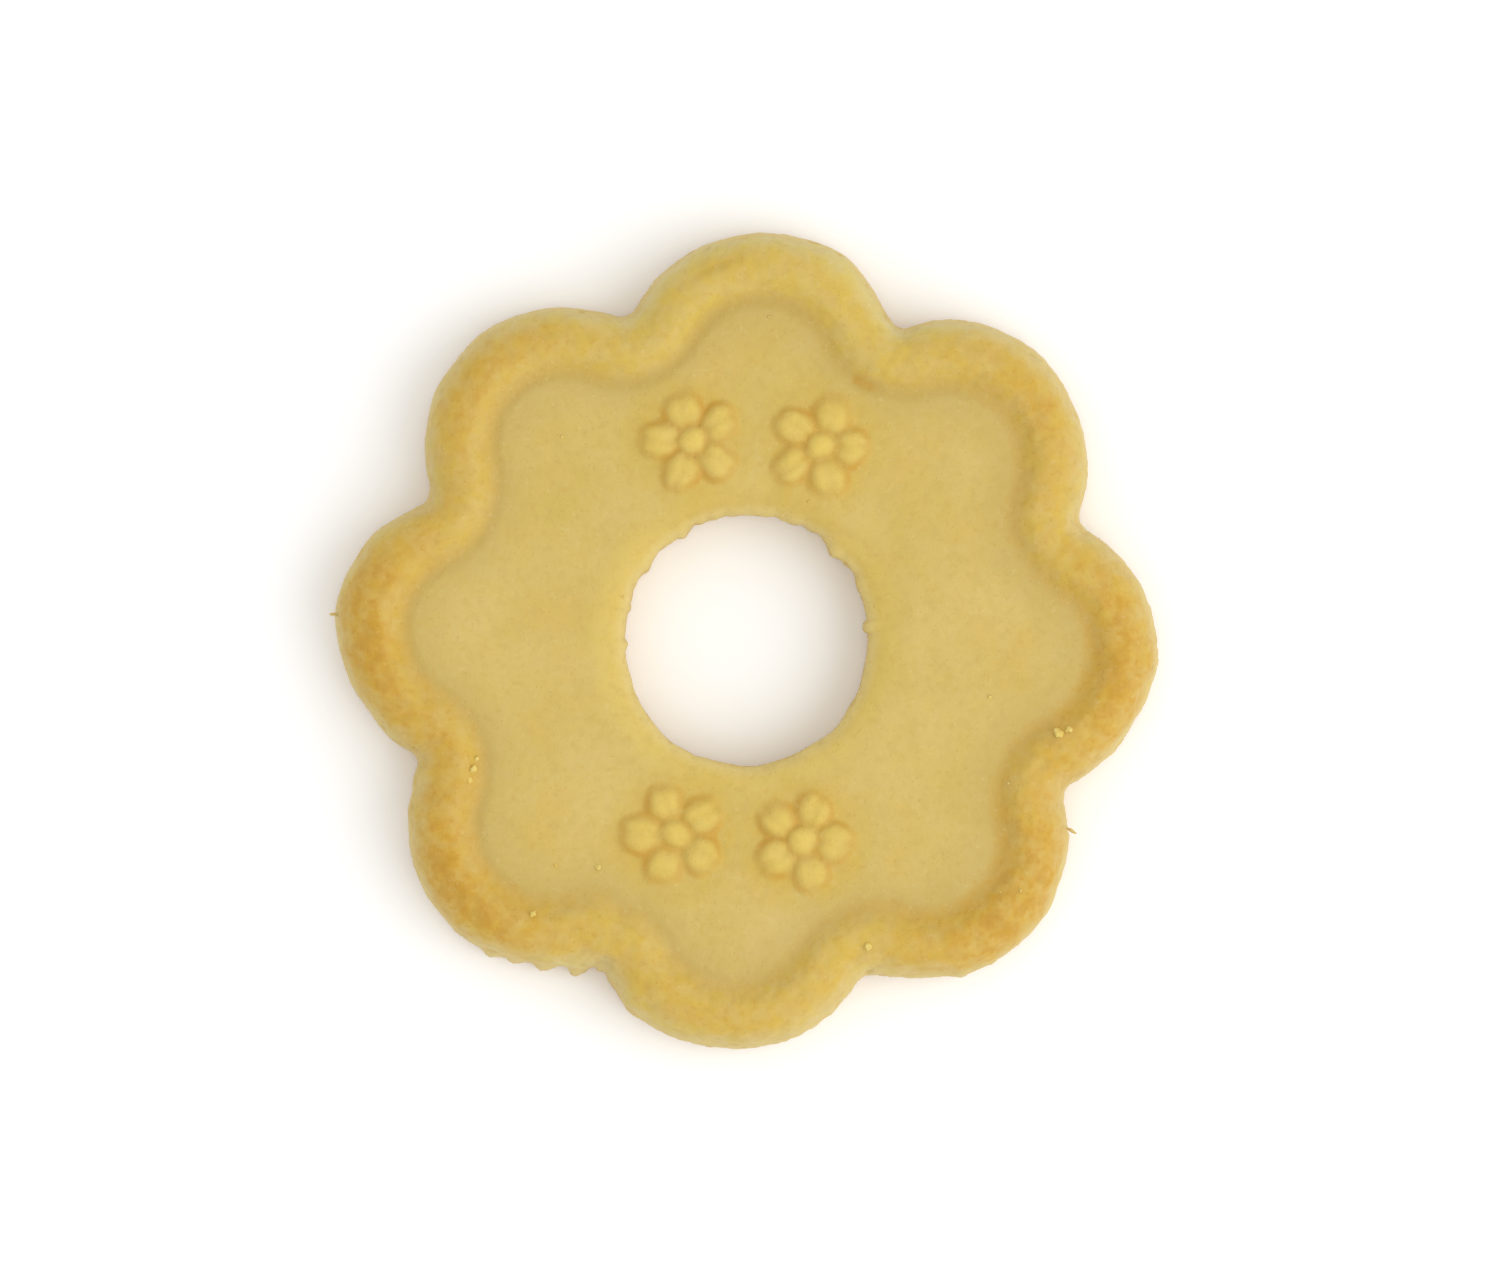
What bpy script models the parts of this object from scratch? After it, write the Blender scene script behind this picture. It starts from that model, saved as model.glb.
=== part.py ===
"""A butter ring cookie: a scalloped ring biscuit of eight round petals, with a raised rim,
a sunken face, a round hole and four small blossoms moulded on the face.

Metres, with +Z out of the face. The flat base rests on Z = 0, the origin is under the
middle of the biscuit's box, and one petal points along +X.
"""

import math

import bmesh
import bpy
from mathutils import Matrix, Vector

MM = 0.001

# The outline from above: round petals joined by small hollow fillets
PETALS = 8
PETAL_REACH = 19.56 * MM  # from the middle to the centre of a petal's arc
PETAL_RADIUS = 10.38 * MM
VALLEY_RADIUS = 1.4 * MM
PETAL_STEPS = 16
VALLEY_STEPS = 6

# The hole, pulled slightly oval and off the middle when the dough was lifted
HOLE_RADIUS = 9.0 * MM
HOLE_OVAL = 0.14 * MM
HOLE_OVAL_ANGLE = math.radians(80)
HOLE_MIDDLE = Vector((-0.04 * MM, 0.18 * MM))

# Heights above the base
CROWN_HEIGHT = 7.0 * MM
FACE_HEIGHT = 6.2 * MM
CREASE_HEIGHT = 6.1 * MM
SHOULDER_HEIGHT = 5.1 * MM  # where the outer wall turns over into the rim
HOLE_LIP_HEIGHT = 4.7 * MM  # where the hole's wall turns over into the face
FOOT_HEIGHT = 0.9 * MM

# Distances inwards from the outline
FOOT_INSET = 0.65 * MM
WALL_LEAN = 0.5 * MM
CROWN_INSET = 3.1 * MM
CREASE_INSET = 5.1 * MM
FACE_INSET = 5.9 * MM

# Distances outwards from the hole's wall
HOLE_FOOT = 0.5 * MM
HOLE_LIP = 3.2 * MM

ROUND_STEPS = 5  # steps over the rim's shoulder and the hole's lip
FOOT_STEPS = 2  # steps round each foot
SLOPE_STEPS = 5  # steps down the rim's inner slope

# Handmade unevenness of the outline: waves around, height of each wave, place of its crest
WAVES = (
    (2, 0.12 * MM, math.radians(88)),
    (3, 0.07 * MM, math.radians(73)),
    (4, 0.08 * MM, math.radians(-68)),
    (5, 0.11 * MM, math.radians(86)),
    (9, 0.09 * MM, math.radians(100)),
)
WAVE_RADIUS = 28.5 * MM  # the mean radius, where the waves have their full height

# Dough that spread into one valley, so that it is shallower than the others
SPILL_ANGLE = math.radians(-112.5)
SPILL_REACH = math.radians(4)
SPILL_DEPTH = 0.7 * MM

# Blossoms moulded on the face, two above the hole and two below it
BLOSSOM_REACH = 15.1 * MM
BLOSSOM_ANGLES = tuple(math.radians(angle) for angle in (72, 108, 252, 288))
BLOSSOM_PETALS = 5
BLOSSOM_PETAL_REACH = 2.35 * MM
BLOSSOM_PETAL_LENGTH = 4.0 * MM
BLOSSOM_PETAL_WIDTH = 3.6 * MM
BLOSSOM_PETAL_RISE = 0.7 * MM
BLOSSOM_HEART_WIDTH = 2.8 * MM
BLOSSOM_HEART_RISE = 0.8 * MM
LUMP_SINK = 1.0 * MM  # the middle of each lump lies this deep under the face, so its dome is low
LUMP_SEGMENTS = 16
LUMP_RINGS = 12

CRUST_COLOR = (0.62, 0.43, 0.14, 1.0)
CRUST_ROUGHNESS = 0.72


def clear_scene():
    for obj in list(bpy.data.objects):
        bpy.data.objects.remove(obj, do_unlink=True)
    for collection in list(bpy.data.collections):
        bpy.data.collections.remove(collection)


def new_collection(name):
    collection = bpy.data.collections.new(name)
    bpy.context.scene.collection.children.link(collection)
    return collection


def crust_material():
    material = bpy.data.materials.new("baked_butter_dough")
    material.use_nodes = True
    shader = material.node_tree.nodes["Principled BSDF"]
    shader.inputs["Base Color"].default_value = CRUST_COLOR
    shader.inputs["Roughness"].default_value = CRUST_ROUGHNESS
    shader.inputs["Metallic"].default_value = 0.0
    material.diffuse_color = CRUST_COLOR
    return material


def polar(radius, angle):
    return Vector((radius * math.cos(angle), radius * math.sin(angle)))


def valley_reach():
    """How far out the fillet between two petals has its centre, so that it touches both arcs."""
    half = math.pi / PETALS
    reach_across = (PETAL_RADIUS + VALLEY_RADIUS) ** 2 - (PETAL_REACH * math.sin(half)) ** 2
    return PETAL_REACH * math.cos(half) + math.sqrt(reach_across)


def outline():
    """Each point of the scalloped outline, with the outward direction there."""
    half = math.pi / PETALS
    petal_centre = polar(PETAL_REACH, 0)
    valley_centre = polar(valley_reach(), half)
    to_valley = valley_centre - petal_centre
    joint = math.atan2(to_valley.y, to_valley.x)
    stations = []
    for petal in range(PETALS):
        turn = Matrix.Rotation(2 * half * petal, 2)
        for step in range(PETAL_STEPS):
            normal = polar(1, joint * (2 * step / PETAL_STEPS - 1))
            point = petal_centre + PETAL_RADIUS * normal
            stations.append((turn @ point, turn @ normal))
        for step in range(VALLEY_STEPS):
            # The fillet's normal swings from one petal's arc through the valley to the next one's
            normal = polar(1, half + (joint - half) * (1 - 2 * step / VALLEY_STEPS))
            point = valley_centre - VALLEY_RADIUS * normal
            stations.append((turn @ point, turn @ normal))
    return stations


def at_height(points, height):
    return [Vector((point.x, point.y, height)) for point in points]


def petal_ring(inset, height):
    return at_height([point - inset * normal for point, normal in outline()], height)


def hole_ring(gap, height):
    """A ring round the hole, with one point facing each point of the crease."""
    ring = []
    for facing in petal_ring(CREASE_INSET, height):
        angle = math.atan2(facing.y, facing.x)
        oval = HOLE_OVAL * math.cos(2 * (angle - HOLE_OVAL_ANGLE))
        ring.append(HOLE_MIDDLE + polar(HOLE_RADIUS + oval + gap, angle))
    return at_height(ring, height)


def rounded(start, end, steps):
    """Points on a quarter of an ellipse from start, which it leaves upright, to end, which it meets level."""
    points = []
    for step in range(steps + 1):
        angle = math.pi / 2 * step / steps
        across = end[0] + (start[0] - end[0]) * math.cos(angle)
        height = start[1] + (end[1] - start[1]) * math.sin(angle)
        points.append((across, height))
    return points


def eased(start, end, steps):
    """Points on a smooth slope from start to end, level at both."""
    points = []
    for step in range(1, steps + 1):
        share = step / steps
        fall = (1 - math.cos(math.pi * share)) / 2
        across = start[0] + (end[0] - start[0]) * share
        points.append((across, start[1] + (end[1] - start[1]) * fall))
    return points


def rim_section():
    """(inset, height) from the foot of the outer wall, over the rim and down to the sunken face."""
    foot = rounded((0, FOOT_HEIGHT), (FOOT_INSET, 0), FOOT_STEPS)
    shoulder = (WALL_LEAN, SHOULDER_HEIGHT)
    crown = (CROWN_INSET, CROWN_HEIGHT)
    crease = (CREASE_INSET, CREASE_HEIGHT)
    face = (FACE_INSET, FACE_HEIGHT)
    over = rounded(shoulder, crown, ROUND_STEPS)
    return foot[::-1] + over + eased(crown, crease, SLOPE_STEPS) + [face]


def hole_section():
    """(gap, height) from the face, over the hole's soft edge and down its wall to the base."""
    lip = rounded((0, HOLE_LIP_HEIGHT), (HOLE_LIP, FACE_HEIGHT), ROUND_STEPS)
    foot = rounded((0, FOOT_HEIGHT), (HOLE_FOOT, 0), FOOT_STEPS)
    return lip[::-1] + foot


def uneven_shift(points):
    """Moves the points in or out by the dough's unevenness, fully at the rim and hardly at the hole."""
    moved = []
    for point in points:
        angle = math.atan2(point.y, point.x)
        radius = math.hypot(point.x, point.y)
        wave = sum(height * math.cos(count * angle - crest) for count, height, crest in WAVES)
        near_spill = max(0, 1 - abs(angle - SPILL_ANGLE) / SPILL_REACH)
        spill = SPILL_DEPTH * near_spill**2 * (3 - 2 * near_spill)
        scale = 1 + (wave + spill) * radius / WAVE_RADIUS**2
        moved.append(Vector((point.x * scale, point.y * scale, point.z)))
    return moved


def body_rings():
    rings = [petal_ring(inset, height) for inset, height in rim_section()]
    rings += [hole_ring(gap, height) for gap, height in hole_section()]
    rings = [uneven_shift(ring) for ring in rings]
    xs = [point.x for ring in rings for point in ring]
    ys = [point.y for ring in rings for point in ring]
    middle = Vector(((min(xs) + max(xs)) / 2, (min(ys) + max(ys)) / 2, 0))
    return [[point - middle for point in ring] for ring in rings]


def make_body(collection, material):
    """Lofts the petal-shaped rings into the round ones, and back along the base to the first."""
    bm = bmesh.new()
    rings = [[bm.verts.new(point) for point in ring] for ring in body_rings()]
    for lower, upper in zip(rings, rings[1:] + rings[:1]):
        for i in range(len(lower)):
            j = (i + 1) % len(lower)
            bm.faces.new((lower[i], lower[j], upper[j], upper[i]))
    mesh = bpy.data.meshes.new("cookie")
    bm.to_mesh(mesh)
    bm.free()
    body = bpy.data.objects.new("cookie", mesh)
    body.data.materials.append(material)
    collection.objects.link(body)
    return body


def add_lump(collection, centre, turn, length, width, rise):
    """One low dome on the face, as long as given along its turn."""
    bpy.ops.mesh.primitive_uv_sphere_add(
        segments=LUMP_SEGMENTS,
        ring_count=LUMP_RINGS,
        radius=1,
        location=(centre.x, centre.y, FACE_HEIGHT - LUMP_SINK),
        rotation=(0, 0, turn),
    )
    lump = bpy.context.object
    lump.scale = (length / 2, width / 2, rise + LUMP_SINK)
    bpy.ops.object.transform_apply(location=False, rotation=False, scale=True)
    for owner in list(lump.users_collection):
        owner.objects.unlink(lump)
    collection.objects.link(lump)


def add_blossom(collection, angle):
    """A heart with petals round it, one of them pointing away from the hole."""
    middle = polar(BLOSSOM_REACH, angle)
    add_lump(collection, middle, angle, BLOSSOM_HEART_WIDTH, BLOSSOM_HEART_WIDTH, BLOSSOM_HEART_RISE)
    for petal in range(BLOSSOM_PETALS):
        turn = angle + 2 * math.pi * petal / BLOSSOM_PETALS
        place = middle + polar(BLOSSOM_PETAL_REACH, turn)
        add_lump(collection, place, turn, BLOSSOM_PETAL_LENGTH, BLOSSOM_PETAL_WIDTH, BLOSSOM_PETAL_RISE)


def join_lumps(body, lumps):
    """Joins every lump to the body in one union, then removes the lumps."""
    union = body.modifiers.new("moulded_blossoms", "BOOLEAN")
    union.operation = "UNION"
    union.operand_type = "COLLECTION"
    union.collection = lumps
    union.solver = "EXACT"
    bpy.context.view_layer.objects.active = body
    bpy.ops.object.modifier_apply(modifier=union.name)
    for lump in list(lumps.objects):
        bpy.data.objects.remove(lump, do_unlink=True)
    bpy.data.collections.remove(lumps)


def main():
    clear_scene()
    cookies = new_collection("butter_ring_cookie")
    lumps = new_collection("blossom_lumps")
    body = make_body(cookies, crust_material())
    for angle in BLOSSOM_ANGLES:
        add_blossom(lumps, angle)
    join_lumps(body, lumps)
    body.data.shade_smooth()
    body.data.set_sharp_from_angle(angle=math.radians(50))


main()
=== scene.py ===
"""The looks of a butter ring cookie: golden baked dough with a browned rim, a crumbly grain, four
moulded blossoms and a few crumbs, on a plain pale floor, seen from straight above."""

import math

import bpy
from mathutils import Matrix, Vector


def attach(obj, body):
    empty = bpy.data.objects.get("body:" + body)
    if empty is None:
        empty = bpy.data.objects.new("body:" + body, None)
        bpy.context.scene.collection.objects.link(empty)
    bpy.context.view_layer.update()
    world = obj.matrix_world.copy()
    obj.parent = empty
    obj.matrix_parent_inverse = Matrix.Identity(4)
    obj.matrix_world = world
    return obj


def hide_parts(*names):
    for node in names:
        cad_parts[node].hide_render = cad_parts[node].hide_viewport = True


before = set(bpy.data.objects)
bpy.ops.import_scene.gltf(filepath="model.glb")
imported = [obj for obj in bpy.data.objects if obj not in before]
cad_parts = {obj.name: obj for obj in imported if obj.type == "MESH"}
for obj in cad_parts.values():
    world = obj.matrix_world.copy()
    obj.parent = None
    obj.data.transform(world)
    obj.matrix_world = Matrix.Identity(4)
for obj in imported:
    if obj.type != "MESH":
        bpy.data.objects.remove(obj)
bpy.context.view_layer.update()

BODY = "root"

MM = 0.001

# The outline from above: round petals joined by small hollow fillets
PETALS = 8
PETAL_REACH = 19.56 * MM  # from the middle to the centre of a petal's arc
PETAL_RADIUS = 10.38 * MM
VALLEY_RADIUS = 1.4 * MM
PETAL_SHARE = 0.74  # of the steps round one petal, the share on its own arc
STEPS_PER_PETAL = 86

# The hole, pulled slightly oval and off the middle when the dough was lifted
HOLE_RADIUS = 9.0 * MM
HOLE_OVAL = 0.14 * MM
HOLE_OVAL_ANGLE = 80  # degrees
HOLE_MIDDLE = (-0.04 * MM, 0.18 * MM, 0)

# The cross-section, from the outline at 0 across to the hole's wall at RING_WIDTH across
RING_WIDTH = 19.4 * MM
CROWN_HEIGHT = 7.0 * MM
FACE_HEIGHT = 6.2 * MM
CREASE_HEIGHT = 6.1 * MM
SHOULDER_HEIGHT = 5.1 * MM
HOLE_LIP_HEIGHT = 4.7 * MM
FOOT_HEIGHT = 0.9 * MM
FOOT_INSET = 0.65 * MM
WALL_POWER = 3.4  # how straight the outer wall stands before it bends into the shoulder
SHOULDER_POWER = 2.2  # how full the shoulder is
CROWN_INSET = 3.1 * MM
CREASE_INSET = 5.1 * MM
FACE_INSET = 5.9 * MM
HOLE_FOOT = 0.5 * MM
HOLE_LIP = 3.2 * MM
ROUND_ZONE = 3.4 * MM  # next to the hole the section keeps its true width

# How many steps each stretch of the cross-section takes
FOOT_STEPS = 4
WALL_STEPS = 33
SLOPE_STEPS = 11
CREASE_STEPS = 4
FACE_STEPS = 47
LIP_STEPS = 14
HOLE_WALL_STEPS = 17
HOLE_FOOT_STEPS = 3
BASE_STEPS = 11
FINE_STEPS = 50  # tried for each step of the wall, to space its steps evenly

# Handmade unevenness of the outline. A wave is given by how many go round the biscuit, its height in
# millimetres and the place of its crest in degrees
WAVES = (
    (2, 0.12, 88),
    (3, 0.07, 73),
    (4, 0.08, -68),
    (5, 0.11, 86),
    (9, 0.09, 100),
)
WAVE_RADIUS = 28.5 * MM

# Bumps round the biscuit. Each is given by its place in degrees, its height in millimetres and its reach
# to each side in degrees
SPILL = (-112.5, 0.7, 4)  # dough that spilled out at the lower left
# Torn teeth low on the wall, at the lower left
RAGGED_TEETH = (
    (-126.9, 0.32, 1.7),
    (-123.5, 0.34, 1.6),
    (-119.4, 0.50, 2.1),
    (-114.6, 0.60, 1.9),
    (-111.6, 0.36, 1.2),
)
# Broad dents and swellings of the outer wall
WALL_BUMPS = (
    (28, 0.16, 9),
    (56, 0.14, 5),
    (65.5, -0.30, 4),
    (78, 0.38, 8.5),
    (94, -0.10, 10),
    (106, 0.11, 6),
    (117, -0.07, 6),
    (160.6, -0.42, 6),
    (178.5, 0.22, 7.5),
    (193, -0.18, 5),
    (204.6, 0.40, 2.4),
    (209, 0.12, 4),
    (236.5, -0.28, 8),
    (244.8, 0.28, 2.2),
    (248.4, -0.55, 2.4),
    (254.8, 0.38, 3.2),
    (266, -0.13, 10),
    (285.4, 0.16, 1.8),
    (293.5, 0.20, 4),
    (300.3, -0.28, 5.5),
    (305.3, 0.10, 2),
    (352, -0.10, 8),
    (359.6, 0.12, 2.4),
)
# Where the hole's edge stands into the hole or, below 0, falls back from it
HOLE_STEPS = (
    (7.9, 0.32, 2.5),
    (10.4, 0.32, 2.4),
    (35, -0.26, 7),
    (48, 0.34, 5.5),
    (58.5, -0.28, 7),
    (66.5, -0.26, 5),
    (80, -0.13, 4),
    (103, -0.12, 5),
    (111, -0.14, 5),
    (116.8, -0.24, 4),
    (123.6, 0.26, 4),
    (137, -0.16, 8),
    (147, 0.14, 4),
    (153, -0.18, 6),
    (158.5, -0.16, 4),
    (167, 0.13, 3),
    (184, 0.22, 3.5),
    (199.5, 0.08, 8),
    (234, -0.14, 12),
    (257, 0.10, 14),
    (276, -0.12, 12),
    (318, -0.24, 16),
    (338, -0.16, 12),
)
WALL_FULLNESS = 0.6  # above a half, rough walls keep their outermost points near the smooth outline
# Folds along the crown: place, share of the full depth, reach
CROWN_FOLDS = (
    (97.5, 1.0, 6),
    (126, 0.5, 4),
    (50, 0.4, 5),
)
FOLD_INSET = 1.95 * MM
FOLD_WIDTH = 0.5 * MM
FOLD_DEPTH = 0.16 * MM

# How brown the rim is around the biscuit: the mean, and waves whose heights are shares
TOAST_MEAN = 0.71
TOAST_WAVES = (
    (1, 0.19, 265),
    (2, 0.30, 2),
    (3, 0.08, 270),
    (4, 0.09, 180),
)
EDGE_MEAN = 0.66  # of the crown's toasting, the share that the rim's outer edge has
EDGE_WAVES = (
    (1, 0.14, -73),
    (2, 0.15, -49),
)
SLOPE_MEAN = 0.62  # the share that the slope inside the crown has
# Round the biscuit the slope browns more where it faces away from the light: partly painted shade
SLOPE_WAVES = ((1, 0.09, -35),)
VALLEY_TOAST = 0.77  # below 1, how much less the dough browns in the valleys between the petals
FOOT_TOAST = 0.75  # on the base and where the walls meet it

# How dark the painted shade in the crease is around the biscuit: the mean, waves, and spots where it is
# deeper
CREASE_MEAN = 0.30
CREASE_WAVES = (
    (1, 0.16, 67),
    (2, 0.17, 210),
    (3, 0.11, -96),
)
CREASE_SPOTS = (
    (69.4, 0.9, 2.2),
    (66.8, 0.8, 2.2),
    (64.5, 0.30, 1.6),
    (313.5, 0.35, 5),
    (326.0, 0.40, 3.5),
)

# How rough the rim is around the biscuit
ROUGH_MEAN = 1.5
ROUGH_WAVES = ((1, 0.9, -20),)
WRINKLE_DRAW = 0.45  # below 1, wrinkles are longer across the rim than along it

# Blossoms moulded on the face, two above the hole and two below it
BLOSSOM_SIZES = {
    "Reach": 15.1 * MM,
    "Angle": math.radians(72),
    "Petals": 5.0,
    "Petal Reach": 2.35 * MM,
    "Petal Length": 4.0 * MM,
    "Petal Width": 3.6 * MM,
    "Petal Rise": 0.7 * MM,
    "Heart Width": 2.8 * MM,
    "Heart Rise": 0.8 * MM,
    "Sink": 1.0 * MM,  # how far under the face the middle of each dome lies
    "Softness": 0.4 * MM,  # how widely petals, heart and face run into each other
    "Vein Depth": 0.14 * MM,
    "Vein Width": 0.55 * MM,
    "Stray": 0.9 * MM,  # how far a blossom's shape strays from the regular one
    "Stray Size": 2.6 * MM,
    "Flat Top": 0.72 * MM,  # the rise above which a blossom flattens
    "Whole Width": 8.7 * MM,
}
NEAR_BLOSSOM = (1.35, 0.35)  # in half widths, where being near a blossom begins and is full

# Pale crumbs stuck to the biscuit: millimetres from the middle, degrees round it, and width in millimetres
PALE_CRUMBS = (
    (22.06, 207.6, 0.75),
    (22.6, 209.2, 0.45),
    (21.5, 206.0, 0.40),
    (25.3, 234.5, 0.60),
    (19.71, 239.1, 0.50),
    (23.7, 346.0, 0.90),
    (24.3, 347.1, 0.65),
    (23.86, 294.1, 0.65),
    (18.14, 349.5, 0.45),
)
CRUMB_DROP_HEIGHT = 20 * MM
# Barbs of dough that stand out of the wall: millimetres from the middle, degrees, height in millimetres
BARBS = (
    (30.15, 178.8, 4.3),
    (27.45, 332.2, 4.0),
)
BARB_LENGTH = 0.85 * MM
BARB_WIDTH = 0.24 * MM
FINE_CRUMB_WIDTHS = (0.12 * MM, 0.34 * MM)
FINE_CRUMBS_PER_SQUARE_METRE = 2e4
CRUMB_SHAPE = (1.0, 0.8, 0.6)  # a crumb's length, width and thickness, as shares of its length
# How deep and how wide the unevenness of each sort of crumb is
PALE_LUMPS = (0.35 * MM, 0.28 * MM)
BARB_LUMPS = (0.15 * MM, 0.20 * MM)
FINE_LUMPS = (0.10 * MM, 0.12 * MM)
# Seeds of everything random about the crumbs
PALE_TURN_SEED = 4
FINE_PLACE_SEED = 3
FINE_WIDTH_SEED = 7
FINE_TURN_SEED = 11
WHOLE_TURN = 6.28  # radians

# Where an effect on the form begins and where it is full, by the height over the base
OFF_BASE = (0.0, 0.5 * MM)
TORN_WALL = (4.6 * MM, 2.6 * MM)
ROUGH_WALL = (SHOULDER_HEIGHT + 0.4 * MM, SHOULDER_HEIGHT - 0.6 * MM)
PORE_WALL = (0.6 * MM, 1.4 * MM)
TOASTED_TOP = (SHOULDER_HEIGHT - 1.4 * MM, SHOULDER_HEIGHT + 0.6 * MM)
TOASTED_FOOT = (1.8 * FOOT_HEIGHT, 0.0)
BLOSSOM_TOP = (HOLE_LIP_HEIGHT - 0.5 * MM, HOLE_LIP_HEIGHT + 0.5 * MM)
# The same, by the distance across from the outline
UNEVEN_WALL = (1.6 * MM, 0.6 * MM)
ROUGH_RIM = (FACE_INSET, CREASE_INSET - 1.0 * MM)
SMOOTHER_INSIDE = (14 * MM, 17 * MM)
TOASTED_EDGE = (0.5 * MM, 2.0 * MM)
TOASTED_SLOPE = (2.7 * MM, 4.1 * MM)
TOAST_END = (4.5 * MM, FACE_INSET)
BASE_BY_WALL = (4.0 * MM, FOOT_INSET)
BASE_BY_HOLE = (RING_WIDTH - 3.0 * MM, RING_WIDTH - HOLE_FOOT)
CREASE_OUTSIDE = (4.2 * MM, 4.9 * MM)
CREASE_INSIDE = (5.9 * MM, 5.2 * MM)
# The same, by the distance from the hole's wall
TORN_HOLE = (1.4 * MM, 0.1 * MM)
# The same, by the sine of the angle round the biscuit
LOWER_SIDE = (0.4, -0.6)
UPPER_SIDE = (-0.4, 0.4)
# The same, by the distance from a pore's middle, where 1 is a pore's cell
PORE_ROUND = (0.42, 0.12)
# The same for fine crumbs, by the height and then twice by the distance across, in millimetres
CRUMBED_TOP = (4.4, 5.4)
CRUMBED_RIM = (6.2, 4.8)
CRUMBED_LIP = (17.6, 19.0)

TOAST_DRIFT = 3.0 * MM  # how far up and down the lower limit of the toasting wanders
TOAST_DRIFT_SIZE = 2.6 * MM

# What the biscuit's own tree is given: sizes, and how deep and how wide each unevenness is
BODY_SIZES = {
    "Steps Around": PETALS * STEPS_PER_PETAL,
    "Petals": float(PETALS),
    "Petal Reach": PETAL_REACH,
    "Petal Radius": PETAL_RADIUS,
    "Valley Radius": VALLEY_RADIUS,
    "Petal Share": PETAL_SHARE,
    "Hole Radius": HOLE_RADIUS,
    "Hole Oval": HOLE_OVAL,
    "Edge Size": 3.6 * MM,  # of the outer wall's unevenness
    "Edge Depth": 0.50 * MM,
    "Tear Size": 2.2 * MM,  # of the hole's unevenness
    "Tear Depth": 0.20 * MM,
    "Swell Size": 7.0 * MM,
    "Swell Depth": 0.20 * MM,
    "Grain Size": 0.8 * MM,
    "Grain Depth": 0.10 * MM,
    "Wrinkle Depth": 0.10 * MM,
    "Wall Roughness": 0.6,
    "Hole Roughness": 0.3,  # below 1, the grain is shallower round the hole
    "Pore Size": 1.1 * MM,
    "Pore Depth": 0.22 * MM,
    "Pore Share": 0.36,  # of a pattern's cells, the share that are open pores
}

# Colours of the dough under plain white light, from its palest to its brownest. Some also serve as painted
# shade, as noted.
PALE_DOUGH = (0.70, 0.58, 0.27, 1)
WALL_DOUGH = (0.61, 0.465, 0.180, 1)
# Ochre: painted shade round the blossoms, and the warmer band above the hole
OCHRE_DOUGH = (0.560, 0.385, 0.066, 1)
# Painted shade, darkening the face beside the rim
SHADED_DOUGH = (0.475, 0.350, 0.110, 1)
GOLD_DOUGH = (0.603, 0.451, 0.149, 1)
OLIVE_DOUGH = (0.545, 0.398, 0.100, 1)
ORANGE_DOUGH = (0.603, 0.405, 0.102, 1)
RIM_DOUGH = (0.592, 0.442, 0.126, 1)
EDGE_DOUGH = (0.600, 0.508, 0.235, 1)
YELLOW_DOUGH = (0.680, 0.500, 0.112, 1)
# Painted shade in the crease, in the crown's folds and in the hollows of the crust on top
CREASE_DOUGH = (0.475, 0.330, 0.080, 1)
# Browning; also painted shade at the blossoms' foot and in the wall's pores
TOAST_AND_SHADE_DOUGH = (0.540, 0.318, 0.052, 1)
# Deep browning; also the deepest painted shade of the crease
BROWN_DOUGH = (0.450, 0.235, 0.024, 1)
CRUMB_DOUGH = (0.700, 0.560, 0.180, 1)
DOUGH_GLOSS = 0.25  # dry dough reflects about half as much as a plain plastic does
GRAIN_BUMP = 0.5  # strength of the grain's bump
DOUGH_SPECKS = 0.45 * MM  # width of the grain's specks
CRUMB_SPECKS = 0.35 * MM
DOUGH_GRAIN_DEPTH = 0.06 * MM
CRUMB_GRAIN_DEPTH = 0.05 * MM
CRUMB_ROUGHNESS = 0.75

# How strong each tint is where it is full
SHADE_SHARE = 0.5
WALL_SHARE = 0.8
HOLE_BAND_SHARE = 0.40
HOLE_LIP_SHARE = 0.5
FLECK_SHARE = 0.2
CRUMB_SPECK_SHARE = 0.3
YELLOWER = (1.0, 0.98, 0.62)  # what yellow spots do to a colour

# How wide the patches, blotches and spots of the dough's colours are
GOLD_PATCHES = 7.5 * MM
WARM_PATCHES = 5.0 * MM
TOAST_BLOTCHES = 2.4 * MM
TOAST_MOTTLE = 0.9 * MM
YELLOW_SPOTS = 1.5 * MM
# These two: patches of the painted shade round the blossoms
SHADE_AURA_PATCHES = 1.8 * MM
BLOSSOM_SHADE_PATCHES = 2.2 * MM
WALL_DRIFT_SIZE = 1.8 * MM
WALL_DRIFT = 3.0  # millimetres that the wall's upper limit wanders up and down
NOISE_RANGE = (0.3, 0.7)  # most of a noise lies between these
# Shifts that make one noise differ from another
GRAIN_SHIFT = (0.013, 0.007, 0.021)
WARMTH_SHIFT = (0.031, 0.017, 0.0)
YELLOW_SHIFT = (0.011, 0.023, 0.005)

# Where a tint begins and where it is full, by the distance across in millimetres
RIM_TINT = (4.8, 3.8)
EDGE_TINT = (1.6, 0.4)
SHADE_BY_RIM = (4.2, 5.0)
SHADE_ON_FACE = (9.4, 5.0)
HOLE_BAND = (16.2, 18.6)
HOLE_LIP_BAND = (18.3, 19.3)
YELLOW_RIM = (5.0, 4.2)
# The same, by the height in millimetres
WALL_TINT = (5.3, 4.0)
HOLE_BAND_TOP = (4.0, 5.0)
HOLE_LIP_TOP = (3.8, 4.6)
YELLOW_TOP = (4.0, 6.0)
# The same, by the distance in metres towards the top of the picture
ABOVE_HOLE = (6.0 * MM, 9.5 * MM)

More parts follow.
